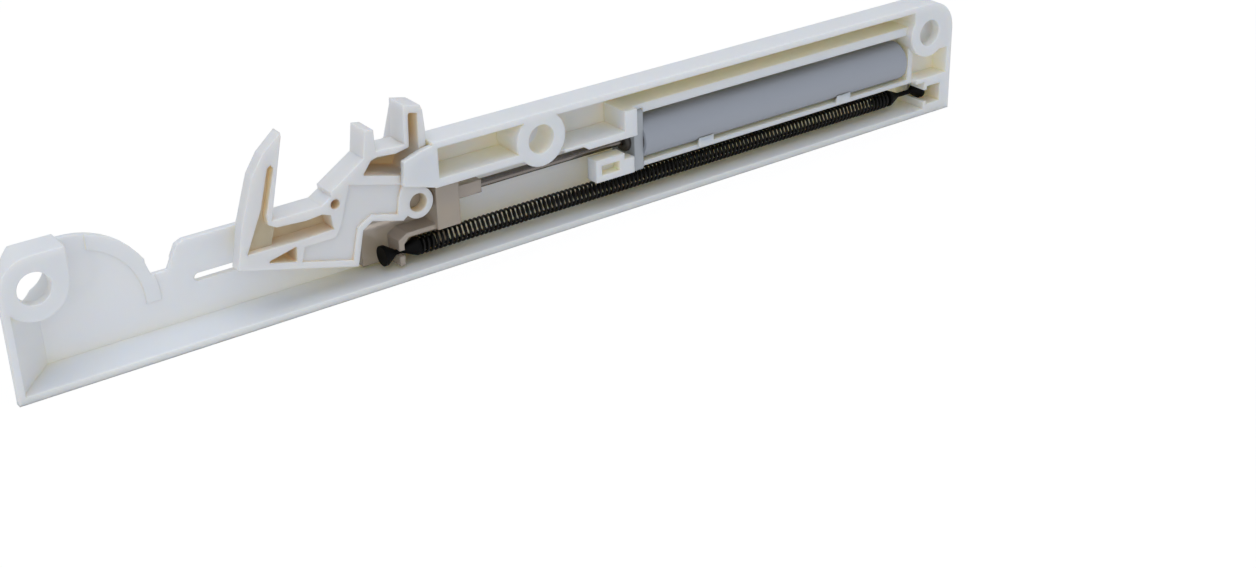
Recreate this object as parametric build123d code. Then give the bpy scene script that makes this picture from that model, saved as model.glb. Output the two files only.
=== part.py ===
from build123d import *
import math
import os

# Soft close damper for a sliding door, drawn as it stands on its long bottom edge.
# Drawing frame in mm: X runs along the unit, Y from the open side back to the closed side, Z up.
# The origin is the bottom left corner of the open side. The parts are centred when they are exported.

# Housing
LENGTH = 250.0
DEPTH = 12.0
HEIGHT = 30.0
WALL = 1.5
FLOOR = 1.6
CLOSED_WALL = 1.5
INNER = DEPTH - CLOSED_WALL
CORNER_R = 8.0
PANEL_STEP = 0.4
PANEL_LEFT = 38.0
PANEL_LOW = 7.7
TOP_CHAMFER_DEEP = 5.0
TOP_CHAMFER_HIGH = 3.0
POCKET_DEPTH = 8.4
POCKET_RIM = 1.5

# Upper part of the housing, which starts behind the catch
BODY_LEFT = 94.3
BODY_TOP_INNER = HEIGHT - POCKET_RIM
CEILING_LOW = 19.6
CEILING_HIGH = 21.5
CEILING_STEP = 19.0
CEILING_BAY = 18.0

# Screw bosses
SCREW_R = 3.4
LEFT_BOSS_R = 6.8
LEFT_BOSS_Z = HEIGHT - LEFT_BOSS_R
LEFT_BOSS_END = 13.8
LEFT_BOSS_FLOOR = 2.5
LEFT_COUNTERBORE_R = 6.0
MIDDLE_X = 121.8
MIDDLE_Z = HEIGHT - 6.2
MIDDLE_BOSS_R = 6.4
MIDDLE_COUNTERBORE_R = 5.4
MIDDLE_COUNTERBORE_DEPTH = 5.4
RIGHT_X = LENGTH - 8.2
RIGHT_Z = HEIGHT - 7.8
RIGHT_BOSS_R = 6.3
RIGHT_COUNTERBORE_R = 5.3

# Slanted ends of the closed side
LEFT_SLANT_X = 9.5
LEFT_SLANT_Y = 1.5
RIGHT_SLANT_X = LENGTH - 10.5
RIGHT_SLANT_Y = 6.0

# Rail plate that the catch travels over, its latch notch and the round flange at the left
RAIL_TOP = 19.4
RAIL_LEFT = 41.0
NOTCH_FLOOR = 13.9
NOTCH_LEFT = 33.2
NOTCH_RIGHT = 36.9
FLANGE_TOP = HEIGHT - 2.8
FLANGE_X = 16.2
FLANGE_R = 18.4
FLANGE_Z = FLANGE_TOP - FLANGE_R
FLANGE_RIM = 3.2
FLANGE_RIM_LEFT = 21.0
FLANGE_RIM_HIGH = 0.4
FLANGE_RIM_LOW = 8.0

# Damper
SEAT = 0.02
CYL_R = 5.0
CYL_BORE_R = 4.2
CYL_Y = INNER - CYL_R - SEAT
CYL_Z = 15.1
CYL_LEFT = 151.0
CYL_RIGHT = LENGTH - 14.2
CYL_END_R = 1.2
CYL_END_WALL = 2.0
CAP_THICK = 2.6
CAP_HALF = 7.0
CAP_UP = 8.1
CAP_FRONT = 1.6
CAP_CLEAR = 0.2
GUIDE_NOSE_R = 2.6
GUIDE_NOSE_LEFT = CYL_LEFT - CAP_THICK - 1.2
GUIDE_LENGTH = 6.0
SEAL_LENGTH = 1.8
FOAM_LENGTH = 12.0
FOAM_HOLE_R = 1.6
RUNNING_FIT = 0.05
O_RING_WIRE_R = 0.5
ROD_R = 1.0
PISTON_LEFT = CYL_RIGHT - 22.8
ROD_RIGHT = PISTON_LEFT + 10.0
PISTON_LENGTH = 5.0
PISTON_R = CYL_BORE_R - 0.35
PISTON_RING_WIDTH = 1.4
PISTON_RING_R = CYL_BORE_R - RUNNING_FIT
VALVE_THICK = 0.6
VALVE_R = 3.4
CLIP_THICK = 0.8
CLIP_R = 2.4

# Damper bay
ROD_WAY_TOP = CYL_Z + ROD_R + 0.6
RIB_FRONT = 2.0
LOW_RIB_TOP = CYL_Z - CYL_R - SEAT
LOW_RIB_THICK = 1.1
HIGH_RIB_LOW = CYL_Z + 7.2
HIGH_RIB_TOP = HIGH_RIB_LOW + 2.2
BAY_LEFT = CYL_LEFT - CAP_THICK - CAP_CLEAR
BAY_WALL_LEFT = CYL_RIGHT + 0.7
BAY_WALL_THICK = 1.6
BAY_WALL_RIGHT = BAY_WALL_LEFT + BAY_WALL_THICK
POST_RIGHT = BAY_LEFT - 0.8
POST_LEFT = POST_RIGHT - 10.8
POST_LOW = 12.8
POST_HIGH = 14.4
POST_FRONT = 0.3
POST_BACK = 3.8
WINDOW_CENTRES = (CYL_LEFT + 18.5, CYL_RIGHT - 22.1)
WINDOW_WIDTH = 5.0
WINDOW_LOW = 10.2
WINDOW_TOP = 21.0
TAB_WIDTH = 4.4
TAB_TOP = 11.9
TAB_FRONT = 1.2

# Spring
SPRING_Y = 4.9
SPRING_Z = 5.2
SPRING_R = 2.2
SPRING_WIRE = 0.65
SPRING_LEFT = 91.5
SPRING_RIGHT = LENGTH - 18.0
SPRING_TURNS = 118
SPRING_STEPS = 6
STUD_HEAD_R = 2.3
STUD_HEAD_THICK = 0.8
STUD_HEAD_CONE = 2.6
STUD_NECK_R = 0.6
STUD_CONE = 3.5
STUD_COLLAR = 0.6
STUD_PLUG = 4.0
STUD_PLUG_R = (SPRING_R - SPRING_WIRE) * math.cos(math.pi / SPRING_STEPS) - 0.03
STUD_LEFT = 82.5
STUD_RIGHT = LENGTH - 6.1
STUD_WALL_RIGHT = STUD_RIGHT - STUD_HEAD_THICK - STUD_HEAD_CONE + 1.4
STUD_WALL_LEFT = STUD_WALL_RIGHT - 1.0
STUD_NOTCH_HALF = 1.6

# Slider, catch and their travel
TRAVEL = 33.0
TILT = 15.0
PIVOT_X = 90.8
PIVOT_Z = 16.6
PIN_R = 2.1
PIN_FRONT = 4.6
CATCH_FRONT = 1.8
CATCH_BACK = 7.8
CATCH_BLOCK_BACK = 11.9
CATCH_HORN_BACK = 4.8
CATCH_HORN_RIGHT = -34.0
CATCH_FLOOR = 1.3
CATCH_PANEL_DEEP = 0.7
RING_R = 3.6
LIP_BACK = 1.5
SLIDER_FRONT = 2.2
SLIDER_PLATE_FRONT = 8.2
SLIDER_BACK = INNER - 0.3
SLIDER_LEFT = 74.5
SLIDER_RIGHT = 101.2
SLIDER_TOP = 18.9
SLIDER_LOW = 7.6
SLIDER_SKIRT_LEFT = 79.5
SLIDER_SKIRT_LOW = 2.3
SLIDER_BLOCK_LEFT = 95.4
SLIDER_BLOCK_LOW = 8.6
LUG_RIGHT = 108.0
LUG_HALF = 1.5
PLUG_R = 1.8
PLUG_LEFT = SLIDER_BLOCK_LEFT + 2.0
PLUG_RIGHT = SLIDER_RIGHT - 1.0
ROD_LEFT = PLUG_LEFT + 1.0
SLOT_LEFT = 42.2
SLOT_RIGHT = 93.6
SLOT_LOW = 9.5
SLOT_HIGH = 11.3
SLOT_CLEAR = 0.2
FIN_LEFT = SLOT_LEFT + TRAVEL + 0.8
FIN_RIGHT = 92.6
BRACKET_LEFT = STUD_LEFT + STUD_HEAD_THICK + STUD_HEAD_CONE + 0.1
BRACKET_RIGHT = SPRING_LEFT - STUD_CONE - STUD_COLLAR - 0.1
BRACKET_FRONT = 3.2
GUARD_THICK = 1.1


def slab(sketch, front, back):
    """Solid with the sketch's outline between two depths. The sketch has x along X and y up Z."""
    return extrude(Plane.XZ.offset(-front) * sketch, amount=back - front, dir=(0, 1, 0))


def rect(left, right, low, high):
    """Rectangle between two places along X and two heights."""
    return Pos((left + right) / 2, (low + high) / 2) * Rectangle(right - left, high - low)


def disc(x, z, radius):
    """Round outline at a place."""
    return Pos(x, z) * Circle(radius)


def outline(*points, radius=0.0):
    """Closed outline through the points, with every corner rounded where a radius is given."""
    shape = Polygon(*points, align=None)
    if radius > 0.0:
        shape = fillet(shape.vertices(), radius)
    return shape


def turned(profile, y, z):
    """Round solid about an axis along X. The profile has x along X and y outwards."""
    return Pos(0, y, z) * revolve(Plane.XY * outline(*profile), axis=Axis.X)


def ring(left, right, inner, outer, y, z):
    """Tube about an axis along X, or a rod where inner is zero."""
    return turned(((left, inner), (right, inner), (right, outer), (left, outer)), y, z)


def housing_plate():
    """Outline of the closed wall: round flange, latch notch, rail plate and the long body."""
    edge = Polyline(
        (0, LEFT_BOSS_Z),
        (0, 0),
        (LENGTH, 0),
        (LENGTH, HEIGHT - CORNER_R),
    )
    edge += RadiusArc((LENGTH, HEIGHT - CORNER_R), (LENGTH - CORNER_R, HEIGHT), -CORNER_R)
    edge += Polyline(
        (LENGTH - CORNER_R, HEIGHT),
        (BODY_LEFT, HEIGHT),
        (BODY_LEFT, RAIL_TOP),
        (RAIL_LEFT, RAIL_TOP),
        (RAIL_LEFT - 1.7, RAIL_TOP - 0.7),
        (NOTCH_RIGHT, NOTCH_FLOOR),
        (NOTCH_LEFT, NOTCH_FLOOR),
        (NOTCH_LEFT - 1.0, NOTCH_FLOOR + 3.2),
    )
    # The flange's arc runs from over the notch up to its top.
    start = math.acos((NOTCH_LEFT - 1.0 - FLANGE_X) / FLANGE_R)
    middle = (start + math.pi / 2) / 2
    low, high = (
        (FLANGE_X + FLANGE_R * math.cos(angle), FLANGE_Z + FLANGE_R * math.sin(angle)) for angle in (start, middle)
    )
    edge += Line((NOTCH_LEFT - 1.0, NOTCH_FLOOR + 3.2), low)
    edge += ThreePointArc(low, high, (FLANGE_X, FLANGE_TOP))
    edge += Polyline(
        (FLANGE_X, FLANGE_TOP),
        (LEFT_BOSS_END, FLANGE_TOP),
        (LEFT_BOSS_END, HEIGHT),
        (LEFT_BOSS_R, HEIGHT),
    )
    edge += RadiusArc((LEFT_BOSS_R, HEIGHT), (0, LEFT_BOSS_Z), -LEFT_BOSS_R)
    return make_face(edge)


def housing_shell():
    """Closed wall, bottom and left walls of the tray, and the rim of the round flange."""
    plate = housing_plate()
    shell = slab(plate, INNER, DEPTH)
    shell += slab(rect(0, LENGTH, 0, FLOOR), 0, DEPTH)
    # The left wall turns into the slanted end and keeps its thickness.
    turn = WALL * 0.9
    band = Polygon(
        (0, 0),
        (0, LEFT_SLANT_Y),
        (LEFT_SLANT_X, DEPTH),
        (LEFT_SLANT_X + WALL, DEPTH),
        (LEFT_SLANT_X + WALL, INNER),
        (LEFT_SLANT_X + WALL - turn, INNER),
        (WALL, LEFT_SLANT_Y - 0.4),
        (WALL, 0),
        align=None,
    )
    shell += extrude(band, amount=LEFT_BOSS_Z, dir=(0, 0, 1))
    boss = disc(LEFT_BOSS_R, LEFT_BOSS_Z, LEFT_BOSS_R)
    boss += rect(LEFT_BOSS_R, LEFT_BOSS_END, LEFT_BOSS_Z, HEIGHT)
    shell += slab(boss, 0, DEPTH)
    flange = plate & rect(FLANGE_RIM_LEFT, FLANGE_X + FLANGE_R, FLANGE_RIM_LOW, HEIGHT)
    rim = (flange & disc(FLANGE_X, FLANGE_Z, FLANGE_R)) - disc(FLANGE_X, FLANGE_Z, FLANGE_R - FLANGE_RIM)
    shell += slab(rim, INNER - FLANGE_RIM_HIGH, INNER)
    return shell


def housing_body():
    """Full-depth body with its pockets, ribs, bosses and the bay of the damper."""
    plate = housing_plate()
    body = slab(plate & rect(BODY_LEFT, LENGTH, 0, HEIGHT), 0, DEPTH)
    # The slider's channel and the spring's channel run the whole length under the upper ribs.
    spring_top = LOW_RIB_TOP - LOW_RIB_THICK
    body -= slab(rect(BODY_LEFT, STUD_WALL_LEFT, FLOOR, spring_top), 0, INNER)
    boss_right = MIDDLE_X + MIDDLE_BOSS_R
    ceiling = Polygon(
        (BODY_LEFT - 1, FLOOR),
        (BAY_LEFT + 0.1, FLOOR),
        (BAY_LEFT + 0.1, CEILING_BAY),
        (boss_right + 6.3, CEILING_BAY),
        (boss_right + 4.8, CEILING_STEP),
        (boss_right - 0.2, CEILING_STEP),
        (boss_right - 0.2, CEILING_LOW),
        (BODY_LEFT - 1, CEILING_LOW),
        align=None,
    )
    body -= slab(ceiling, 0, INNER)
    # Bay of the damper: the cap's notch, then the ribs set back from the open side.
    cap_low = CYL_Z - CAP_HALF - CAP_CLEAR
    cap_top = CYL_Z + CAP_UP + CAP_CLEAR
    body -= slab(rect(BAY_LEFT, CYL_LEFT + CAP_CLEAR, cap_low, cap_top), 0, INNER)
    body -= slab(rect(CYL_LEFT, BAY_WALL_LEFT, LOW_RIB_TOP, HIGH_RIB_LOW), 0, INNER)
    body -= slab(rect(BAY_LEFT, BAY_WALL_RIGHT, spring_top, HIGH_RIB_TOP), 0, RIB_FRONT)
    # Pockets above the channel and above the damper.
    step_x = BAY_LEFT - 3.4
    body -= slab(rect(BODY_LEFT + 1.1, MIDDLE_X, CEILING_HIGH, BODY_TOP_INNER), 0, POCKET_DEPTH)
    body -= slab(rect(MIDDLE_X, step_x, CEILING_LOW + 0.1, BODY_TOP_INNER), 0, POCKET_DEPTH)
    body -= slab(rect(step_x - 0.1, BAY_WALL_LEFT, HIGH_RIB_TOP, BODY_TOP_INNER), 0, POCKET_DEPTH)
    # Right end: small pocket and the pocket of the spring stud's head.
    body -= slab(rect(BAY_WALL_RIGHT, LENGTH - WALL, LOW_RIB_TOP, LOW_RIB_TOP + 7.0), 0, SPRING_Y)
    head = STUD_HEAD_R + CAP_CLEAR
    body -= slab(rect(STUD_WALL_RIGHT, STUD_RIGHT + 2.7, SPRING_Z - head, SPRING_Z + head), 0, SPRING_Y + head)
    half = STUD_NOTCH_HALF
    notch = rect(STUD_WALL_LEFT - 0.2, STUD_WALL_RIGHT + 0.2, SPRING_Z - half, SPRING_Z + half)
    body -= slab(notch, 0, SPRING_Y + half)
    return body


def housing_inserts():
    """Pieces of the moulding that stand in the cleared channel: bosses, post, tabs and the lip."""
    middle = slab(disc(MIDDLE_X, MIDDLE_Z, MIDDLE_BOSS_R) & rect(0, LENGTH, ROD_WAY_TOP, HEIGHT), 0, INNER)
    right = slab(disc(RIGHT_X, RIGHT_Z, RIGHT_BOSS_R), 0, RIGHT_SLANT_Y)
    rib_low = LOW_RIB_TOP - LOW_RIB_THICK
    post = outline(
        (POST_LEFT, rib_low),
        (POST_RIGHT, rib_low),
        (POST_RIGHT, POST_LOW),
        (POST_RIGHT - 2.8, POST_LOW),
        (POST_RIGHT - 2.8, POST_HIGH),
        (POST_LEFT, POST_HIGH),
    )
    hollow = rect(POST_LEFT + POCKET_RIM, POST_RIGHT - 4.2, rib_low + POCKET_RIM, POST_HIGH - POCKET_RIM)
    post_block = slab(post, POST_FRONT, POST_BACK) - slab(hollow, POST_FRONT, POST_BACK - 1.0)
    post_block += slab(rect(POST_LEFT + 5.5, POST_RIGHT, rib_low, LOW_RIB_TOP), POST_FRONT, INNER)
    lip = outline(
        (BODY_LEFT + 0.5, CEILING_LOW),
        (BODY_LEFT + 0.5, HEIGHT - 0.6),
        (BODY_LEFT - 3.1, HEIGHT - 1.2),
        (BODY_LEFT - 7.2, HEIGHT - 2.6),
        (BODY_LEFT - 7.6, HEIGHT - 8.0),
    )
    inserts = middle + right + post_block + slab(lip, 0, LIP_BACK)
    for centre in WINDOW_CENTRES:
        tab = Polyline(
            (TAB_FRONT, rib_low + 0.6),
            (RIB_FRONT + 0.2, rib_low + 0.6),
            (RIB_FRONT + 0.2, LOW_RIB_TOP - 0.03),
            (TAB_FRONT + 0.25, TAB_TOP),
            (TAB_FRONT, TAB_TOP),
            close=True,
        )
        start = Plane.YZ.offset(centre - TAB_WIDTH / 2) * make_face(tab)
        inserts += extrude(start, amount=TAB_WIDTH, dir=(1, 0, 0))
    return inserts


def housing_cuts():
    """Screw holes, guide slot, windows, panel step and the slanted ends."""
    cuts = slab(disc(LEFT_BOSS_R, LEFT_BOSS_Z, SCREW_R), -1, DEPTH + 1)
    cuts += slab(disc(LEFT_BOSS_R, LEFT_BOSS_Z, LEFT_COUNTERBORE_R), LEFT_BOSS_FLOOR, DEPTH + 1)
    cuts += slab(disc(MIDDLE_X, MIDDLE_Z, SCREW_R), -1, DEPTH + 1)
    seat = DEPTH - MIDDLE_COUNTERBORE_DEPTH
    cuts += slab(disc(MIDDLE_X, MIDDLE_Z, MIDDLE_COUNTERBORE_R), seat, DEPTH + 1)
    cuts += slab(disc(RIGHT_X, RIGHT_Z, SCREW_R), -1, DEPTH + 1)
    cuts += slab(disc(RIGHT_X, RIGHT_Z, RIGHT_COUNTERBORE_R), LEFT_BOSS_FLOOR, DEPTH + 1)
    slot_place = Pos((SLOT_LEFT + SLOT_RIGHT) / 2, (SLOT_LOW + SLOT_HIGH) / 2)
    slot = slot_place * SlotOverall(SLOT_RIGHT - SLOT_LEFT, SLOT_HIGH - SLOT_LOW)
    cuts += slab(slot, INNER - 1, DEPTH + 1)
    for centre in WINDOW_CENTRES:
        window = rect(centre - WINDOW_WIDTH / 2, centre + WINDOW_WIDTH / 2, WINDOW_LOW, WINDOW_TOP)
        cuts += slab(window, INNER - 1, DEPTH + 1)
    # The bosses keep out of the damper's room.
    cuts += ring(CYL_LEFT, CYL_RIGHT + SEAT / 2, 0, CYL_R + SEAT / 2, CYL_Y, CYL_Z)
    cap_slit = rect(BAY_LEFT + 0.4, CYL_LEFT - 0.4, LOW_RIB_TOP, CYL_Z + CYL_R)
    cuts += slab(cap_slit, INNER - 1, DEPTH + 1)
    # The closed face is set back below and to the left of its raised panel.
    lower = rect(-1, LENGTH + 1, -1, PANEL_LOW) + rect(-1, PANEL_LEFT, -1, HEIGHT + 1)
    cuts += slab(lower, DEPTH - PANEL_STEP, DEPTH + 1)
    groove = disc(LEFT_BOSS_R + 11.7, LEFT_BOSS_Z - 4.2, 4.2) - disc(LEFT_BOSS_R + 11.7, LEFT_BOSS_Z - 4.2, 3.8)
    cuts += slab(groove, DEPTH - PANEL_STEP - 0.3, DEPTH)
    left_end = Polygon((-1, LEFT_SLANT_Y - 1), (LEFT_SLANT_X + 1, DEPTH + 1.1), (-1, DEPTH + 1.1), align=None)
    slope = (DEPTH - RIGHT_SLANT_Y) / (LENGTH - RIGHT_SLANT_X)
    right_end = Polygon(
        (LENGTH + 2, RIGHT_SLANT_Y - 2 * slope),
        (LENGTH + 2, DEPTH + 2 * slope),
        (RIGHT_SLANT_X - 2, DEPTH + 2 * slope),
        align=None,
    )
    cuts += extrude(left_end, amount=HEIGHT + 1, dir=(0, 0, 1))
    cuts += extrude(right_end, amount=HEIGHT + 1, dir=(0, 0, 1))
    bevel = Polyline(
        (DEPTH - TOP_CHAMFER_DEEP, HEIGHT),
        (DEPTH - TOP_CHAMFER_DEEP, HEIGHT + 1),
        (DEPTH + 1, HEIGHT + 1),
        (DEPTH + 1, HEIGHT - TOP_CHAMFER_HIGH),
        (DEPTH, HEIGHT - TOP_CHAMFER_HIGH),
        close=True,
    )
    section = make_face(bevel)
    cuts += extrude(Plane.YZ.offset(BODY_LEFT - 0.1) * section, amount=LENGTH - BODY_LEFT + 2, dir=(1, 0, 0))
    cuts += extrude(Plane.YZ.offset(-1) * section, amount=LEFT_BOSS_END + 1, dir=(1, 0, 0))
    return cuts


def make_housing():
    """White moulded housing."""
    return housing_shell() + housing_body() + housing_inserts() - housing_cuts()


def catch_outline():
    """Outline of the catch about its pivot, with its ribs level."""
    body = outline(
        (-40.2, -14.1),
        (-12.3, -14.1),
        (-12.6, -6.0),
        (-10.7, -4.0),
        (-3.0, -4.0),
        (0.0, 0.0),
        (0.0, 10.0),
        (-1.2, 15.9),
        (-2.8, 20.5),
        (-3.6, 21.6),
        (-7.6, 21.4),
        (-5.7, 12.9),
        (-12.6, 11.4),
        (-13.7, 15.3),
        (-13.9, 16.0),
        (-15.9, 15.8),
        (-15.1, 9.7),
        (-21.8, 2.4),
        (-21.4, 1.5),
        (-23.3, -0.5),
        (-34.3, -3.5),
        (-34.9, 14.3),
        (-35.2, 15.2),
        (-38.5, 10.4),
        (-40.1, 5.8),
        (-40.8, -4.7),
    )
    return body + disc(0, 0, RING_R)


def hook_block():
    """Outline of the part of the catch that reaches to the closed side, behind its hook."""
    return outline(
        (-17.3, 3.2),
        (0.0, 3.2),
        (0.0, 10.0),
        (-1.2, 15.9),
        (-3.0, 20.3),
        (-4.7, 20.1),
        (-4.9, 11.5),
        (-6.7, 10.4),
        (-12.3, 8.5),
    )


def catch_pockets():
    """Outline of the deep pockets under the horn and in the heel."""
    arm = outline(
        (-38.7, -10.8),
        (-37.6, -3.8),
        (-37.1, -1.0),
        (-37.0, 7.6),
        (-36.3, 8.4),
        (-35.5, 7.6),
        (-35.6, -2.6),
        (-34.9, -4.4),
        (-33.0, -4.9),
        (-26.5, -3.6),
        (-22.9, -2.3),
        (-20.9, -2.5),
        (-19.5, -5.6),
        (-27.1, -7.9),
    )
    return arm + outline((-34.4, -12.7), (-27.7, -9.1), (-27.1, -12.6), radius=0.3)


def make_catch():
    """White moulded catch, with ribs and pockets on its open side and a deep block at its hook."""
    shape = catch_outline()
    block = hook_block()
    solid = slab(shape, CATCH_FRONT, CATCH_BACK) + slab(block, CATCH_BACK, CATCH_BLOCK_BACK)
    # The horn's side is thinner than the rest.
    solid -= slab(rect(-50, CATCH_HORN_RIGHT, -20, 20), CATCH_HORN_BACK, CATCH_BACK + 1)
    pockets = catch_pockets()
    solid -= slab(pockets, CATCH_FRONT, CATCH_HORN_BACK - CATCH_FLOOR)
    beside_horn = rect(CATCH_HORN_RIGHT + CATCH_FLOOR, 0, -20, 20)
    solid -= slab(pockets & beside_horn, CATCH_FRONT, CATCH_BACK - CATCH_FLOOR)
    hook = outline(
        (-6.2, 19.8),
        (-3.9, 19.9),
        (-1.9, 11.3),
        (-2.6, 6.0),
        (-14.7, 6.0),
        (-13.3, 9.4),
        (-11.8, 10.2),
        (-7.6, 10.9),
        (-4.6, 12.4),
        radius=0.4,
    )
    solid -= slab(hook, CATCH_FRONT, CATCH_BACK - CATCH_FLOOR)
    inside = offset(block, -CATCH_FLOOR, kind=Kind.INTERSECTION)
    solid -= slab(hook & inside, CATCH_FRONT, CATCH_BLOCK_BACK - CATCH_FLOOR)
    # One shallow panel leaves the ribs standing round it.
    panel = outline(
        (-17.6, 4.1),
        (-4.6, 4.1),
        (-5.0, 1.0),
        (-4.6, -2.6),
        (-11.0, -2.6),
        (-13.9, -5.4),
        (-13.7, -12.7),
        (-25.9, -12.7),
        (-25.9, -9.3),
        (-18.9, -7.4),
        (-18.0, -4.5),
        (-17.9, 0.0),
    )
    solid -= slab(panel, CATCH_FRONT, CATCH_FRONT + CATCH_PANEL_DEEP)
    solid -= slab(disc(-20.2, -0.1, 1.1), CATCH_FRONT, CATCH_FRONT + 4.0)
    solid -= slab(disc(0, 0, PIN_R + RUNNING_FIT), CATCH_FRONT - 1, CATCH_BACK + 1)
    return Pos(PIVOT_X, 0, PIVOT_Z) * Rot(Y=TILT) * solid


def make_slider():
    """Smoke-coloured slider: plate, pivot pin, guide fin, end block, rod lug and spring bracket."""
    plate = outline(
        (SLIDER_LEFT, SLIDER_LOW),
        (SLIDER_SKIRT_LEFT, SLIDER_LOW),
        (SLIDER_SKIRT_LEFT, SLIDER_SKIRT_LOW),
        (SLIDER_RIGHT, SLIDER_SKIRT_LOW),
        (SLIDER_RIGHT, SLIDER_TOP),
        (SLIDER_LEFT + 4.0, SLIDER_TOP),
        (SLIDER_LEFT, SLIDER_TOP - 4.0),
    )
    slider = slab(plate, SLIDER_PLATE_FRONT, SLIDER_BACK)
    block = rect(SLIDER_BLOCK_LEFT, SLIDER_RIGHT, SLIDER_BLOCK_LOW, SLIDER_TOP)
    slider += slab(block, SLIDER_FRONT, SLIDER_BACK)
    slider += slab(disc(PIVOT_X, PIVOT_Z, PIN_R), PIN_FRONT, SLIDER_BACK)
    lug = rect(SLIDER_RIGHT, LUG_RIGHT, CYL_Z - LUG_HALF, CYL_Z + LUG_HALF)
    slider += slab(lug, CYL_Y - LUG_HALF, CYL_Y + LUG_HALF)
    fin = rect(FIN_LEFT, FIN_RIGHT, SLOT_LOW + SLOT_CLEAR, SLOT_HIGH - SLOT_CLEAR)
    slider += slab(fin, SLIDER_BACK, DEPTH - SLOT_CLEAR)
    # The bracket's wall runs on over the spring as far as the block.
    guard_top = SLIDER_BLOCK_LOW + GUARD_THICK
    bracket = outline(
        (BRACKET_LEFT, SLIDER_SKIRT_LOW),
        (BRACKET_RIGHT, SLIDER_SKIRT_LOW),
        (BRACKET_RIGHT, SLIDER_BLOCK_LOW - 1.4),
        (BRACKET_RIGHT + 1.3, SLIDER_BLOCK_LOW),
        (SLIDER_BLOCK_LEFT + 0.1, SLIDER_BLOCK_LOW),
        (SLIDER_BLOCK_LEFT + 0.1, guard_top),
        (BRACKET_RIGHT + 0.9, guard_top),
        (BRACKET_LEFT, guard_top - 1.3),
    )
    slider += slab(bracket, BRACKET_FRONT, SLIDER_BACK)
    # The stud's neck lies in a slot that is open to the front.
    neck = STUD_NECK_R + 0.1
    slider -= slab(rect(BRACKET_LEFT - 1, BRACKET_RIGHT + 1, SPRING_Z - neck, SPRING_Z + neck), 0, SPRING_Y + neck)
    # The rod and the plug on its end lie in a seat that is open to the back.
    for left, right, half in (
        (PLUG_LEFT - RUNNING_FIT, PLUG_RIGHT + RUNNING_FIT, PLUG_R + RUNNING_FIT),
        (PLUG_RIGHT, LUG_RIGHT + 1, ROD_R + RUNNING_FIT),
    ):
        slider -= ring(left, right, 0, half, CYL_Y, CYL_Z)
        slider -= slab(rect(left, right, CYL_Z - half, CYL_Z + half), CYL_Y, SLIDER_BACK + 1)
    return slider


def make_spring():
    """Tension spring as a helix of short straight lengths with a square section."""
    outer = SPRING_R
    inner = SPRING_R - SPRING_WIRE
    half = SPRING_WIRE / 2
    steps = SPRING_TURNS * SPRING_STEPS
    pitch = (SPRING_RIGHT - SPRING_LEFT - SPRING_WIRE) / steps

    def station(i):
        angle = 2 * math.pi * i / SPRING_STEPS
        x = SPRING_LEFT + half + pitch * i
        corners = []
        for radius, side in ((outer, -half), (outer, half), (inner, half), (inner, -half)):
            y = SPRING_Y + radius * math.cos(angle)
            z = SPRING_Z + radius * math.sin(angle)
            corners.append(Vector(x + side, y, z))
        return corners

    def facet(*points):
        return Face(Wire.make_polygon(points, close=True))

    faces = [facet(*station(0)), facet(*station(steps))]
    for i in range(steps):
        a = station(i)
        b = station(i + 1)
        faces.append(facet(a[0], a[1], b[1], b[0]))
        faces.append(facet(a[2], a[3], b[3], b[2]))
        for j, k in ((1, 2), (3, 0)):
            faces.append(facet(a[j], a[k], b[k]))
            faces.append(facet(a[j], b[k], b[j]))
    return Solid(Shell(faces))


def make_stud(head, direction, coil):
    """Golf-tee shaped end piece: flat head, neck, cone and the plug inside the last coils."""
    cone_end = coil - direction * 0.05
    profile = (
        (head, 0),
        (head, STUD_HEAD_R),
        (head + direction * STUD_HEAD_THICK, STUD_HEAD_R),
        (head + direction * (STUD_HEAD_THICK + STUD_HEAD_CONE), STUD_NECK_R),
        (cone_end - direction * (STUD_CONE + STUD_COLLAR), STUD_NECK_R),
        (cone_end - direction * STUD_COLLAR, SPRING_R - 0.1),
        (cone_end, SPRING_R - 0.1),
        (cone_end, STUD_PLUG_R),
        (coil + direction * STUD_PLUG, STUD_PLUG_R),
        (coil + direction * STUD_PLUG, 0),
    )
    return turned(profile, SPRING_Y, SPRING_Z)


def make_cylinder():
    """Grey damper cylinder with a closed, rounded end."""
    tube = ring(CYL_LEFT, CYL_RIGHT, 0, CYL_R, CYL_Y, CYL_Z)
    tube = chamfer(tube.edges().filter_by(GeomType.CIRCLE).sort_by(Axis.X)[-1], CYL_END_R)
    return tube - ring(CYL_LEFT - 1, CYL_RIGHT - CYL_END_WALL, 0, CYL_BORE_R, CYL_Y, CYL_Z)


def make_cap():
    """Square flange plate that closes the cylinder and sits in the housing's notch."""
    square = rect(CYL_LEFT - CAP_THICK, CYL_LEFT, CYL_Z - CAP_HALF, CYL_Z + CAP_UP)
    plate = slab(square, CAP_FRONT, INNER - 0.1)
    edges = plate.edges().filter_by(Axis.X)
    plate = fillet(edges, 1.0)
    return plate - ring(CYL_LEFT - CAP_THICK - 1, CYL_LEFT + 1, 0, GUIDE_NOSE_R, CYL_Y, CYL_Z)


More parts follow.
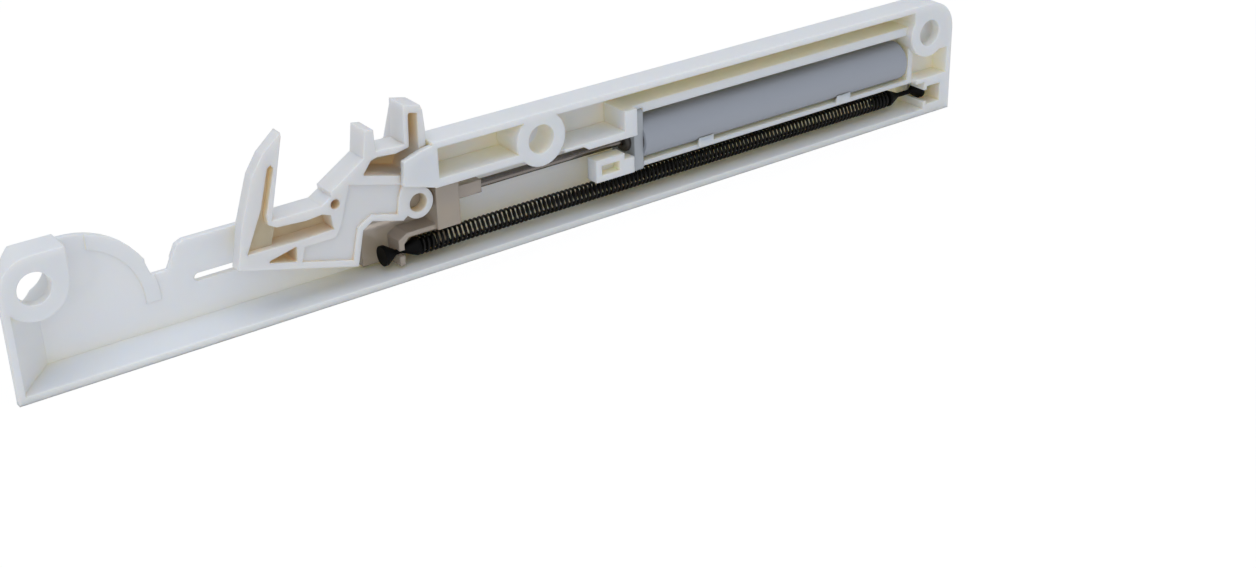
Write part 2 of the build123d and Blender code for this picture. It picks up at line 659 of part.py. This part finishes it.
def make_rod_guide():
    """Dark gland: a nose through the cap and a body in the cylinder with the O-ring's groove."""
    groove = CYL_LEFT + GUIDE_LENGTH / 2
    hole = ROD_R + RUNNING_FIT
    depth = CYL_BORE_R - 2 * O_RING_WIRE_R
    profile = (
        (GUIDE_NOSE_LEFT, hole),
        (CYL_LEFT + GUIDE_LENGTH, hole),
        (CYL_LEFT + GUIDE_LENGTH, CYL_BORE_R),
        (groove + O_RING_WIRE_R, CYL_BORE_R),
        (groove + O_RING_WIRE_R, depth),
        (groove - O_RING_WIRE_R, depth),
        (groove - O_RING_WIRE_R, CYL_BORE_R),
        (CYL_LEFT, CYL_BORE_R),
        (CYL_LEFT, GUIDE_NOSE_R),
        (GUIDE_NOSE_LEFT + 0.5, GUIDE_NOSE_R),
        (GUIDE_NOSE_LEFT, GUIDE_NOSE_R - 0.5),
    )
    return turned(profile, CYL_Y, CYL_Z)


def make_o_ring():
    """Rubber ring in the groove of the rod guide."""
    centre = (CYL_LEFT + GUIDE_LENGTH / 2, CYL_BORE_R - O_RING_WIRE_R)
    section = Plane.XY * (Pos(*centre) * RegularPolygon(O_RING_WIRE_R, 6))
    return Pos(0, CYL_Y, CYL_Z) * revolve(section, axis=Axis.X)


def make_rod_end():
    """Plug on the rod's end, held in the slider's block."""
    profile = (
        (PLUG_LEFT, 0),
        (PLUG_LEFT, PLUG_R),
        (PLUG_RIGHT, PLUG_R),
        (PLUG_RIGHT, ROD_R),
        (ROD_LEFT, ROD_R),
        (ROD_LEFT, 0),
    )
    return turned(profile, CYL_Y, CYL_Z)


def make_piston():
    """Piston with the ring's groove, bored for the rod."""
    groove = PISTON_LEFT + (PISTON_LENGTH - PISTON_RING_WIDTH) / 2
    profile = (
        (PISTON_LEFT, ROD_R),
        (PISTON_LEFT + PISTON_LENGTH, ROD_R),
        (PISTON_LEFT + PISTON_LENGTH, PISTON_R),
        (groove + PISTON_RING_WIDTH, PISTON_R),
        (groove + PISTON_RING_WIDTH, PISTON_R - 0.9),
        (groove, PISTON_R - 0.9),
        (groove, PISTON_R),
        (PISTON_LEFT, PISTON_R),
    )
    return turned(profile, CYL_Y, CYL_Z)


def make_parts():
    """All pieces by node name."""
    foam_left = CYL_LEFT + GUIDE_LENGTH + SEAL_LENGTH
    piston_right = PISTON_LEFT + PISTON_LENGTH
    valve_right = piston_right + VALVE_THICK
    ring_left = PISTON_LEFT + (PISTON_LENGTH - PISTON_RING_WIDTH) / 2
    axis = (CYL_Y, CYL_Z)
    seal_left = CYL_LEFT + GUIDE_LENGTH
    return {
        "housing": make_housing(),
        "catch": make_catch(),
        "slider": make_slider(),
        "spring": make_spring(),
        "spring_stud_slider": make_stud(STUD_LEFT, 1, SPRING_LEFT),
        "spring_stud_housing": make_stud(STUD_RIGHT, -1, SPRING_RIGHT),
        "damper_cylinder": make_cylinder(),
        "cylinder_cap": make_cap(),
        "rod_guide": make_rod_guide(),
        "guide_o_ring": make_o_ring(),
        "rod_seal": ring(seal_left, foam_left, ROD_R + RUNNING_FIT, CYL_BORE_R, *axis),
        "compensator_foam": ring(foam_left, foam_left + FOAM_LENGTH, FOAM_HOLE_R, CYL_BORE_R, *axis),
        "piston_rod": ring(ROD_LEFT, ROD_RIGHT, 0, ROD_R, *axis),
        "rod_end": make_rod_end(),
        "piston": make_piston(),
        "piston_ring": ring(ring_left, ring_left + PISTON_RING_WIDTH, PISTON_R - 0.9, PISTON_RING_R, *axis),
        "valve_disc": ring(piston_right, valve_right, ROD_R, VALVE_R, *axis),
        "piston_clip": ring(valve_right, valve_right + CLIP_THICK, ROD_R, CLIP_R, *axis),
    }


os.makedirs("parts", exist_ok=True)
for name, shape in make_parts().items():
    centred = Pos(-LENGTH / 2, -DEPTH / 2, 0) * shape
    centred.label = name
    export_step(centred, f"parts/{name}.step")
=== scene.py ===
import math

import bpy
from mathutils import Matrix, Vector

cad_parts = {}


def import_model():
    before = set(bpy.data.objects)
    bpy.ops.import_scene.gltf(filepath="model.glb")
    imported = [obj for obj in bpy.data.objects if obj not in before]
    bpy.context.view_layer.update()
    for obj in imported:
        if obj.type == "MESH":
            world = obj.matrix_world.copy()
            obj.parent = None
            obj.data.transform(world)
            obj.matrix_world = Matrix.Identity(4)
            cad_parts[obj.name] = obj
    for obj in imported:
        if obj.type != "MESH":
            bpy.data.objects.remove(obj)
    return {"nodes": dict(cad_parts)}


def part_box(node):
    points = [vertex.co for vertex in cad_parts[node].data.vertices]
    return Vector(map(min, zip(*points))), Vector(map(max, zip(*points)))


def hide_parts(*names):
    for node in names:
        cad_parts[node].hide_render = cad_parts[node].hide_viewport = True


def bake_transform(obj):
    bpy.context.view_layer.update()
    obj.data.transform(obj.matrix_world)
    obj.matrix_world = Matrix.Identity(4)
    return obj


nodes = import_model()["nodes"]
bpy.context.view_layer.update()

# Camera
# The unit stands on its long edge. The camera looks down on the open side from the left, from about
# 40 cm away, with a normal lens.
MM = 0.001
CAMERA_PLACE = Vector((-207.7, -318.6, 173.4)) * MM
CAMERA_AZIMUTH = math.radians(-36.0043)
CAMERA_ELEVATION = math.radians(26.4752)
CAMERA_ROLL = math.radians(-1.3735)
LENS_MM = 52.01
NEAREST_SEEN = 10 * MM

forward = Vector(
    (
        -math.sin(CAMERA_AZIMUTH) * math.cos(CAMERA_ELEVATION),
        math.cos(CAMERA_AZIMUTH) * math.cos(CAMERA_ELEVATION),
        -math.sin(CAMERA_ELEVATION),
    )
)
level = Vector((math.cos(CAMERA_AZIMUTH), math.sin(CAMERA_AZIMUTH), 0.0))
upright = level.cross(forward)
side = math.cos(CAMERA_ROLL) * level + math.sin(CAMERA_ROLL) * upright
top = -math.sin(CAMERA_ROLL) * level + math.cos(CAMERA_ROLL) * upright
turn = Matrix((side, top, -forward)).transposed().to_4x4()
camera = bpy.data.objects.new("camera", bpy.data.cameras.new("camera"))
camera.matrix_world = Matrix.Translation(CAMERA_PLACE) @ turn
camera.data.lens = LENS_MM
camera.data.clip_start = NEAREST_SEEN
bpy.context.scene.collection.objects.link(camera)
bpy.context.scene.camera = camera
bpy.context.scene.view_settings.view_transform = "Standard"

# Studio
# The table is white paper with no visible edge. It looks nearly pure white, with only a faint shadow,
# and lights the unit from below as paper does. A broad soft lamp above lights the top edges and the
# tray, and a weaker one at the camera's left fills the open side.
TABLE_HALF = 6.0
PAPER_WHITE = "F4F4F4"
PAPER_GLOW = 1.06
PAPER_SHADED_SHARE = 0.15
SKY_COLOUR = "F3F6FA"
SKY_STRENGTH = 0.5


def linear(hex_colour):
    """Linear RGBA of an sRGB colour written as hex digits."""
    channels = []
    for start in (0, 2, 4):
        value = int(hex_colour[start : start + 2], 16) / 255
        channels.append(value / 12.92 if value <= 0.04045 else ((value + 0.055) / 1.055) ** 2.4)
    return (*channels, 1.0)


def add_node(tree, kind, values=(), **settings):
    """Adds a node with its settings. Each value is an input with a number, a colour or a socket to link."""
    node = tree.nodes.new(kind)
    for name, setting in settings.items():
        setattr(node, name, setting)
    for key, value in values:
        if isinstance(value, bpy.types.NodeSocket):
            tree.links.new(value, node.inputs[key])
        else:
            node.inputs[key].default_value = value
    return node


def soft_lamp(name, place, size, watts, colour):
    """A square lamp that points at the unit."""
    data = bpy.data.lights.new(name, "AREA")
    data.size = size
    data.energy = watts
    data.color = linear(colour)[:3]
    lamp = bpy.data.objects.new(name, data)
    lamp.location = place
    lamp.rotation_euler = (-Vector(place)).to_track_quat("-Z", "Y").to_euler()
    bpy.context.scene.collection.objects.link(lamp)


table_mesh = bpy.data.meshes.new("floor")
corners = [(x * TABLE_HALF, y * TABLE_HALF, 0.0) for x, y in ((-1, -1), (1, -1), (1, 1), (-1, 1))]
table_mesh.from_pydata(corners, [], [(0, 1, 2, 3)])
table = bpy.data.objects.new("floor", table_mesh)
bpy.context.scene.collection.objects.link(table)

paper = bpy.data.materials.new("white_paper")
paper.use_nodes = True
tree = paper.node_tree
tree.nodes.clear()
rays = add_node(tree, "ShaderNodeLightPath")
direct = add_node(
    tree,
    "ShaderNodeMath",
    [(0, rays.outputs["Is Camera Ray"]), (1, rays.outputs["Is Glossy Ray"])],
    operation="MAXIMUM",
)
seen = add_node(
    tree, "ShaderNodeMath", [(0, direct.outputs[0]), (1, rays.outputs["Is Transmission Ray"])], operation="MAXIMUM"
)
glow_share = add_node(tree, "ShaderNodeMath", [(0, seen.outputs[0]), (1, 1 - PAPER_SHADED_SHARE)], operation="MULTIPLY")
shaded = add_node(tree, "ShaderNodeBsdfDiffuse", [("Color", linear(PAPER_WHITE))])
glow = add_node(tree, "ShaderNodeEmission", [("Color", linear("FFFFFF")), ("Strength", PAPER_GLOW)])
sheet = add_node(
    tree, "ShaderNodeMixShader", [(0, glow_share.outputs[0]), (1, shaded.outputs[0]), (2, glow.outputs[0])]
)
add_node(tree, "ShaderNodeOutputMaterial", [("Surface", sheet.outputs[0])])
table_mesh.materials.append(paper)

world = bpy.data.worlds.new("studio")
world.use_nodes = True
bpy.context.scene.world = world
sky = world.node_tree.nodes["Background"]
sky.inputs["Color"].default_value = linear(SKY_COLOUR)
sky.inputs["Strength"].default_value = SKY_STRENGTH
soft_lamp("lamp_above", place=(-0.05, -0.1, 1.0), size=0.9, watts=4.3, colour="F7FAFF")
soft_lamp("lamp_left", place=(-0.6, -0.88, 0.52), size=0.7, watts=2.4, colour="FFFFFF")

# Housing
# The body is one white ABS moulding, open on one side, with its ribs, screw bosses and the damper's bay.
# Its satin skin has the fine grain of an eroded mould, drawn coarse enough to show. Light that enters its
# thin walls spreads in them. A cream colour, lighter than the white, is painted into the deep, narrow
# pockets where they are occluded. This painted light stands in for the glow that comes back there.
HOUSING_WHITE = "E2E5E9"
# Painted light: the cream that the occluded pockets take instead of the housing's white.
HOUSING_PAINTED_POCKET_LIGHT = "F9F0D6"
HOUSING_POCKET_REACH_MM = 9.0
ABS_IOR = 1.54
ABS_ROUGHNESS = 0.42
MOULD_GRAIN_MM = 0.35
MOULD_GRAIN_DEPTH_MM = 0.02
MOULD_GRAIN_STRENGTH = 0.12
FLOW_PATCH_MM = 14.0
GLOSS_BELOW = 0.05
GLOSS_ABOVE = 0.06
EDGE_ROUND_MM = 0.35
GLOW_COLOURS = (1.0, 0.84, 0.66)
GLOW_REACH_MM = 3.0
POCKET_CLOSED_SHARE = 0.1
POCKET_OPEN_SHARE = 0.65


def moulded(name, colour, ior, roughness, grain_mm=MOULD_GRAIN_MM):
    """Opaque moulded material with slightly uneven gloss from its flow, fine grain and rounded edges."""
    material = bpy.data.materials.new(name)
    material.use_nodes = True
    tree = material.node_tree
    shader = tree.nodes["Principled BSDF"]
    place = add_node(tree, "ShaderNodeTexCoord")
    grain = add_node(
        tree,
        "ShaderNodeTexNoise",
        [("Vector", place.outputs["Object"]), ("Scale", 1 / (grain_mm * MM)), ("Detail", 2.0)],
    )
    flow = add_node(
        tree,
        "ShaderNodeTexNoise",
        [("Vector", place.outputs["Object"]), ("Scale", 1 / (FLOW_PATCH_MM * MM)), ("Detail", 3.0)],
    )
    gloss = add_node(
        tree,
        "ShaderNodeMapRange",
        [("Value", flow.outputs["Fac"]), ("To Min", roughness - GLOSS_BELOW), ("To Max", roughness + GLOSS_ABOVE)],
    )
    tree.links.new(gloss.outputs["Result"], shader.inputs["Roughness"])
    edge = add_node(tree, "ShaderNodeBevel", [("Radius", EDGE_ROUND_MM * MM)], samples=4)
    skin = add_node(
        tree,
        "ShaderNodeBump",
        [
            ("Height", grain.outputs["Fac"]),
            ("Strength", MOULD_GRAIN_STRENGTH),
            ("Distance", MOULD_GRAIN_DEPTH_MM * MM),
            ("Normal", edge.outputs[0]),
        ],
    )
    tree.links.new(skin.outputs["Normal"], shader.inputs["Normal"])
    shader.inputs["IOR"].default_value = ior
    shader.inputs["Base Color"].default_value = linear(colour)
    return material


def spread_glow_and_paint_pockets(material, colour, painted_pocket_colour, pocket_reach_mm):
    """Lets light spread in a white moulding, and paints a colour into its pockets where ambient occlusion finds them
    closed in, as painted light or shade. Returns the node that mixes it.
    """
    tree = material.node_tree
    shader = tree.nodes["Principled BSDF"]
    shader.inputs["Subsurface Weight"].default_value = 1.0
    shader.inputs["Subsurface Radius"].default_value = GLOW_COLOURS
    shader.inputs["Subsurface Scale"].default_value = GLOW_REACH_MM * MM
    depth = add_node(tree, "ShaderNodeAmbientOcclusion", [("Distance", pocket_reach_mm * MM)], samples=8)
    open_share = add_node(
        tree,
        "ShaderNodeMapRange",
        [("Value", depth.outputs["AO"]), ("From Min", POCKET_CLOSED_SHARE), ("From Max", POCKET_OPEN_SHARE)],
    )
    painted_tint = add_node(
        tree,
        "ShaderNodeMix",
        [("Factor", open_share.outputs["Result"]), (6, linear(painted_pocket_colour)), (7, linear(colour))],
        data_type="RGBA",
    )
    tree.links.new(painted_tint.outputs[2], shader.inputs["Base Color"])
    return painted_tint


def finish_node(name, material):
    """Gives a CAD node its finish."""
    mesh = nodes[name].data
    mesh.materials.clear()
    mesh.materials.append(material)


white_abs = moulded("white_abs", HOUSING_WHITE, ABS_IOR, ABS_ROUGHNESS)
spread_glow_and_paint_pockets(white_abs, HOUSING_WHITE, HOUSING_PAINTED_POCKET_LIGHT, HOUSING_POCKET_REACH_MM)
finish_node("housing", white_abs)

# Catch
# The catch is moulded in white acetal, which is a little warmer and slicker than the housing. It turns on
# the slider's pin, and its horn and hook take the door's driver between them. A tan shade is painted into
# its pockets where they are occluded, and a darker one on the floors behind its flat panel.
CATCH_WHITE = "E0E1E3"
# Painted tan shade in the occluded pockets.
CATCH_PAINTED_POCKET_SHADE = "E8D5B6"
CATCH_POCKET_REACH_MM = 6.0
# Painted darker tan shade on the recessed floors behind the flat panel that face the open side.
CATCH_PAINTED_FLOOR_SHADE = "BFB69F"
PANEL_Y_MM = -3.3
SHALLOW_FLOOR_Y_MM = -2.6
LEANS_TO_OPEN_SIDE = -0.5
FACES_OPEN_SIDE = -0.9
ACETAL_IOR = 1.48
CATCH_ROUGHNESS = 0.36


def paint_shade_on_pocket_floors(material, painted_tint, open_colour, painted_floor_shade):
    """Paints a darker tan shade on the floors that face the open side and lie behind the catch's flat panel."""
    tree = material.node_tree
    place = add_node(tree, "ShaderNodeTexCoord")
    spot = add_node(tree, "ShaderNodeSeparateXYZ", [("Vector", place.outputs["Object"])])
    facing = add_node(tree, "ShaderNodeSeparateXYZ", [("Vector", place.outputs["Normal"])])
    behind = add_node(
        tree,
        "ShaderNodeMapRange",
        [("Value", spot.outputs["Y"]), ("From Min", PANEL_Y_MM * MM), ("From Max", SHALLOW_FLOOR_Y_MM * MM)],
    )
    to_open_side = add_node(
        tree,
        "ShaderNodeMapRange",
        [("Value", facing.outputs["Y"]), ("From Min", LEANS_TO_OPEN_SIDE), ("From Max", FACES_OPEN_SIDE)],
    )
    share = add_node(
        tree, "ShaderNodeMath", [(0, behind.outputs[0]), (1, to_open_side.outputs[0])], operation="MULTIPLY"
    )
    painted_floors = add_node(
        tree,
        "ShaderNodeMix",
        [("Factor", share.outputs[0]), (6, linear(open_colour)), (7, linear(painted_floor_shade))],
        data_type="RGBA",
    )
    tree.links.new(painted_floors.outputs[2], painted_tint.inputs[7])


white_acetal = moulded("white_acetal", CATCH_WHITE, ACETAL_IOR, CATCH_ROUGHNESS)
catch_painted_tint = spread_glow_and_paint_pockets(white_acetal, CATCH_WHITE, CATCH_PAINTED_POCKET_SHADE, CATCH_POCKET_REACH_MM)
paint_shade_on_pocket_floors(white_acetal, catch_painted_tint, CATCH_WHITE, CATCH_PAINTED_FLOOR_SHADE)
finish_node("catch", white_acetal)

# Slider
# The slider is moulded in clear polycarbonate with a smoke tint and a slight haze, so the housing's wall
# shows brownish and a little soft through its plate. It carries the catch's pin and runs in the
# housing's slot.
SMOKE_TINT = "DCD0C4"
SMOKE_CLEARNESS = 0.6
SMOKE_HAZE_PATCH_MM = 6.0
SMOKE_SMOOTHEST = 0.08
SMOKE_ROUGHEST = 0.28
POLYCARBONATE_IOR = 1.585
smoke = bpy.data.materials.new("smoke_polycarbonate")
smoke.use_nodes = True
tree = smoke.node_tree
shader = tree.nodes["Principled BSDF"]
shader.inputs["Base Color"].default_value = linear(SMOKE_TINT)
shader.inputs["Transmission Weight"].default_value = SMOKE_CLEARNESS
shader.inputs["IOR"].default_value = POLYCARBONATE_IOR
place = add_node(tree, "ShaderNodeTexCoord")
haze = add_node(
    tree,
    "ShaderNodeTexNoise",
    [("Vector", place.outputs["Object"]), ("Scale", 1 / (SMOKE_HAZE_PATCH_MM * MM)), ("Detail", 3.0)],
)
gloss = add_node(
    tree,
    "ShaderNodeMapRange",
    [("Value", haze.outputs["Fac"]), ("To Min", SMOKE_SMOOTHEST), ("To Max", SMOKE_ROUGHEST)],
)
tree.links.new(gloss.outputs["Result"], shader.inputs["Roughness"])
edge = add_node(tree, "ShaderNodeBevel", [("Radius", EDGE_ROUND_MM * MM)], samples=4)
tree.links.new(edge.outputs[0], shader.inputs["Normal"])
finish_node("slider", smoke)

# Spring
# The tension spring is wound from round black steel wire, oiled, so each coil carries a thin highlight.
# One end is fixed in the housing, the other rides on the slider, and the coils open as it is drawn out.
SPRING_TURNS = 118
SPRING_WIRE_MM = 0.65
SPRING_COIL_R_MM = 2.2
STEPS_PER_TURN = 16
WIRE_SIDES = 8
WIRE_BLACK = "171615"
WIRE_METALLIC = 0.75
OIL_PATCH_MM = 3.0
OIL_SMOOTHEST = 0.22
OIL_ROUGHEST = 0.5


def oiled_steel():
    """Black oiled spring steel: dark, metallic, with a slightly uneven film."""
    material = bpy.data.materials.new("black_oiled_steel")
    material.use_nodes = True
    tree = material.node_tree
    shader = tree.nodes["Principled BSDF"]
    shader.inputs["Base Color"].default_value = linear(WIRE_BLACK)
    shader.inputs["Metallic"].default_value = WIRE_METALLIC
    place = add_node(tree, "ShaderNodeTexCoord")
    film = add_node(
        tree,
        "ShaderNodeTexNoise",
        [("Vector", place.outputs["Object"]), ("Scale", 1 / (OIL_PATCH_MM * MM)), ("Detail", 3.0)],
    )
    gloss = add_node(
        tree,
        "ShaderNodeMapRange",
        [("Value", film.outputs["Fac"]), ("To Min", OIL_SMOOTHEST), ("To Max", OIL_ROUGHEST)],
    )
    tree.links.new(gloss.outputs["Result"], shader.inputs["Roughness"])
    return material


def spring_tree(material):
    """Geometry nodes: a spiral with a round wire swept along it."""
    tree = bpy.data.node_groups.new("tension_spring", "GeometryNodeTree")
    face = tree.interface
    for label in ("Turns", "Coil Radius", "Length", "Wire Radius"):
        face.new_socket(label, in_out="INPUT", socket_type="NodeSocketFloat")
    face.new_socket("Geometry", in_out="OUTPUT", socket_type="NodeSocketGeometry")
    given = add_node(tree, "NodeGroupInput")
    coil = add_node(
        tree,
        "GeometryNodeCurveSpiral",
        [
            ("Resolution", STEPS_PER_TURN),
            ("Rotations", given.outputs["Turns"]),
            ("Start Radius", given.outputs["Coil Radius"]),
            ("End Radius", given.outputs["Coil Radius"]),
            ("Height", given.outputs["Length"]),
        ],
    )
    wire = add_node(
        tree,
        "GeometryNodeCurvePrimitiveCircle",
        [("Resolution", WIRE_SIDES), ("Radius", given.outputs["Wire Radius"])],
    )
    swept = add_node(
        tree,
        "GeometryNodeCurveToMesh",
        [("Curve", coil.outputs[0]), ("Profile Curve", wire.outputs[0]), ("Fill Caps", True)],
    )
    smooth = add_node(tree, "GeometryNodeSetShadeSmooth", [("Geometry", swept.outputs[0])])
    plain = add_node(tree, "GeometryNodeRealizeInstances", [("Geometry", smooth.outputs[0])])
    painted = add_node(tree, "GeometryNodeSetMaterial", [("Geometry", plain.outputs[0]), ("Material", material)])
    add_node(tree, "NodeGroupOutput", [("Geometry", painted.outputs[0])])
    return tree


low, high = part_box("spring")
spring_sizes = {
    "Turns": float(SPRING_TURNS),
    "Coil Radius": (SPRING_COIL_R_MM - SPRING_WIRE_MM / 2) * MM,
    "Length": high.x - low.x - SPRING_WIRE_MM * MM,
    "Wire Radius": SPRING_WIRE_MM / 2 * MM,
}
carrier = bpy.data.objects.new("coil_carrier", bpy.data.meshes.new("coil_carrier"))
bpy.context.scene.collection.objects.link(carrier)
modifier = carrier.modifiers.new("coil", "NODES")
modifier.node_group = spring_tree(oiled_steel())
for item in modifier.node_group.interface.items_tree:
    if item.name in spring_sizes:
        modifier[item.identifier] = spring_sizes[item.name]
shaped = carrier.evaluated_get(bpy.context.evaluated_depsgraph_get())
coil_mesh = bpy.data.meshes.new_from_object(shaped)
bpy.data.objects.remove(carrier)
coil_start = Vector((low.x + SPRING_WIRE_MM / 2 * MM, (low.y + high.y) / 2, (low.z + high.z) / 2))
coil_mesh.transform(Matrix.Translation(coil_start) @ Matrix.Rotation(math.radians(90), 4, "Y"))
tension_spring = bpy.data.objects.new("tension_spring", coil_mesh)
bpy.context.scene.collection.objects.link(tension_spring)
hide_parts("spring")
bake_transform(tension_spring)

# Spring studs
# Both ends of the spring are screwed onto black nylon studs with a flat head, which hooks into the
# slider at one end and into a notch of the housing at the other. The nylon is matt and takes little shine.
NYLON_BLACK = "080808"
NYLON_IOR = 1.53
NYLON_ROUGHNESS = 0.52
NYLON_SHINE = 0.08
black_nylon = moulded("black_nylon", NYLON_BLACK, NYLON_IOR, NYLON_ROUGHNESS)
black_nylon.node_tree.nodes["Principled BSDF"].inputs["Specular IOR Level"].default_value = NYLON_SHINE
for name in ("spring_stud_slider", "spring_stud_housing"):
    finish_node(name, black_nylon)

# Damper
# The damper is a closed grey acetal cylinder with a square, lighter cap and a dark gland, through which
# its steel rod comes out. It is snapped into its bay under two tabs. The acetal is satin, so the cylinder
# has one broad, soft highlight along it.
CYLINDER_GREY = "9CA1AB"
CYLINDER_ROUGHNESS = 0.44
CAP_GREY = "A6ABB1"
CAP_ROUGHNESS = 0.38
GLAND_DARK = "3A3733"
GLAND_ROUGHNESS = 0.4
grey_acetal = moulded("grey_acetal", CYLINDER_GREY, ACETAL_IOR, CYLINDER_ROUGHNESS)
light_grey_acetal = moulded("light_grey_acetal", CAP_GREY, ACETAL_IOR, CAP_ROUGHNESS)
dark_acetal = moulded("dark_acetal", GLAND_DARK, ACETAL_IOR, GLAND_ROUGHNESS)
finish_node("damper_cylinder", grey_acetal)
finish_node("cylinder_cap", light_grey_acetal)
for name in ("rod_guide", "rod_end", "piston"):
    finish_node(name, dark_acetal)
for name in ("piston_ring", "valve_disc"):
    finish_node(name, black_nylon)

# Piston rod
# The rod is ground and polished steel. Its fine grinding marks run round it, and they are drawn more than
# a millimetre apart, so that they show as soft bands of gloss.
ROD_STEEL = "7A7470"
GRINDING_BAND_MM = 1.2566
WAVE_BAND = math.pi / 10
ROD_SMOOTHEST = 0.16
ROD_ROUGHEST = 0.26


def ground_steel():
    """Ground and polished steel with marks round the rod. A wave's bands are WAVE_BAND apart at scale 1."""
    material = bpy.data.materials.new("ground_steel")
    material.use_nodes = True
    tree = material.node_tree
    shader = tree.nodes["Principled BSDF"]
    shader.inputs["Base Color"].default_value = linear(ROD_STEEL)
    shader.inputs["Metallic"].default_value = 1.0
    place = add_node(tree, "ShaderNodeTexCoord")
    marks = add_node(
        tree,
        "ShaderNodeTexWave",
        [
            ("Vector", place.outputs["Object"]),
            ("Scale", WAVE_BAND / (GRINDING_BAND_MM * MM)),
            ("Distortion", 3.0),
            ("Detail", 2.0),
        ],
        bands_direction="X",
    )
    gloss = add_node(
        tree,
        "ShaderNodeMapRange",
        [("Value", marks.outputs["Fac"]), ("To Min", ROD_SMOOTHEST), ("To Max", ROD_ROUGHEST)],
    )
    tree.links.new(gloss.outputs["Result"], shader.inputs["Roughness"])
    return material


polished_rod = ground_steel()
for name in ("piston_rod", "piston_clip"):
    finish_node(name, polished_rod)

# Seals
# The rubber rings and the foam sleeve are inside the closed cylinder, where only a cut would show them.
# The rubber is matt. The foam is closed-cell and duller still, with its pores drawn coarse.
RUBBER_BLACK = "1C1C1C"
RUBBER_IOR = 1.52
RUBBER_ROUGHNESS = 0.7
FOAM_GREY = "56575A"
FOAM_IOR = 1.5
FOAM_ROUGHNESS = 0.9
FOAM_PORE_MM = 0.8
black_rubber = moulded("black_rubber", RUBBER_BLACK, RUBBER_IOR, RUBBER_ROUGHNESS)
for name in ("guide_o_ring", "rod_seal"):
    finish_node(name, black_rubber)
finish_node("compensator_foam", moulded("grey_foam", FOAM_GREY, FOAM_IOR, FOAM_ROUGHNESS, FOAM_PORE_MM))
